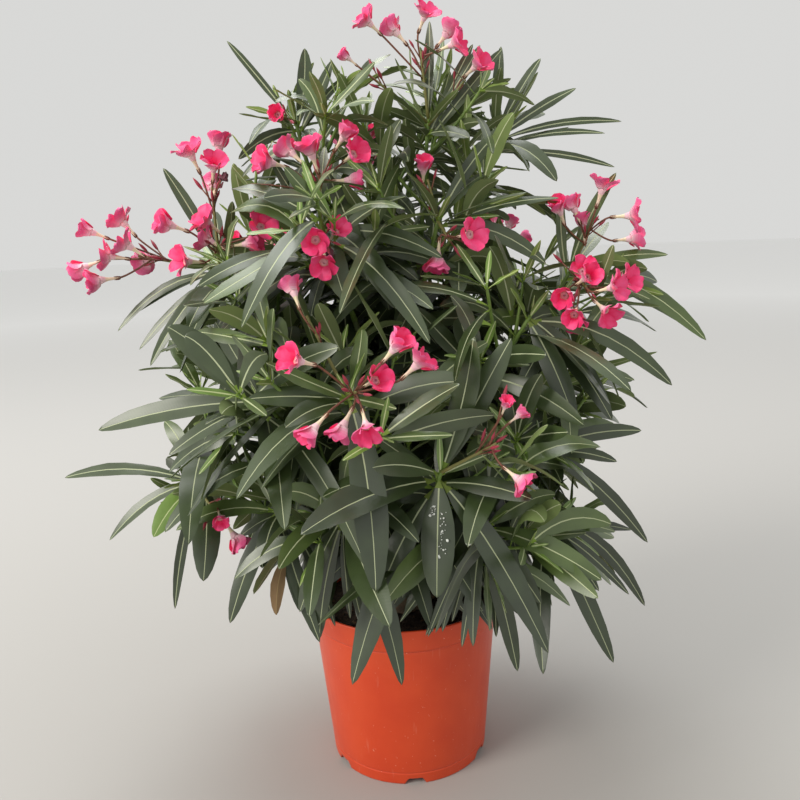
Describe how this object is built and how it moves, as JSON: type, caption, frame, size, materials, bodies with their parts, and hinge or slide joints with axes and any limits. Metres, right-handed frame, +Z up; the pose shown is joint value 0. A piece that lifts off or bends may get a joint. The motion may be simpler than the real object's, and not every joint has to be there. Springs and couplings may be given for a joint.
{
  "type": "potted oleander shrub",
  "caption": "Bushy evergreen oleander shrub with long narrow leaves and rose-red blooms, growing in a round tapered plastic nursery pot.",
  "frame": {"origin": "centre of the pot's flat underside", "axes": "+Z up along the pot's axis, -Y towards the show side that the picture is taken from, +X to that side's right"},
  "size_m": [0.738, 0.5269, 0.8893],
  "materials": {
    "pot_plastic": "satin",
    "compost": "matte",
    "bark": "matte",
    "foliage": "satin"
  },
  "bodies": {
    "root": {"bough-back-left": "bark", "bough-back-left-low": "bark", "bough-back-low": "bark", "bough-back-middle": "bark", "bough-back-right": "bark", "bough-back-right-low": "bark", "bough-centre": "bark", "bough-front-left-low": "bark", "bough-front-low": "bark", "bough-front-right-low": "bark", "bough-left-bottom": "bark", "bough-left-low": "bark", "bough-left-middle": "bark", "bough-left-side": "bark", "bough-right-front": "bark", "bough-right-low": "bark", "bough-right-middle": "bark", "bough-right-side": "bark", "bough-upper-left": "bark", "compost": "compost", "foliage-back-high": "foliage", "foliage-back-left": "foliage", "foliage-back-left-low": "foliage", "foliage-back-low": "foliage", "foliage-back-middle": "foliage", "foliage-back-right": "foliage", "foliage-back-right-low": "foliage", "foliage-centre": "foliage", "foliage-crown-left": "foliage", "foliage-crown-right": "foliage", "foliage-crown-top": "foliage", "foliage-front-left-low": "foliage", "foliage-front-low": "foliage", "foliage-front-middle": "foliage", "foliage-front-right-low": "foliage", "foliage-left-bottom": "foliage", "foliage-left-low": "foliage", "foliage-left-middle": "foliage", "foliage-left-side": "foliage", "foliage-left-upper": "foliage", "foliage-right-front": "foliage", "foliage-right-low": "foliage", "foliage-right-middle": "foliage", "foliage-right-side": "foliage", "foliage-right-upper": "foliage", "foliage-upper-left": "foliage", "pot": "pot_plastic", "stem-back": "bark", "stem-crown": "bark", "stem-front": "bark", "stem-left": "bark", "stem-right": "bark", "stem-top-left": "bark", "stem-top-right": "bark", "stool": "bark"}
  },
  "joints": []
}
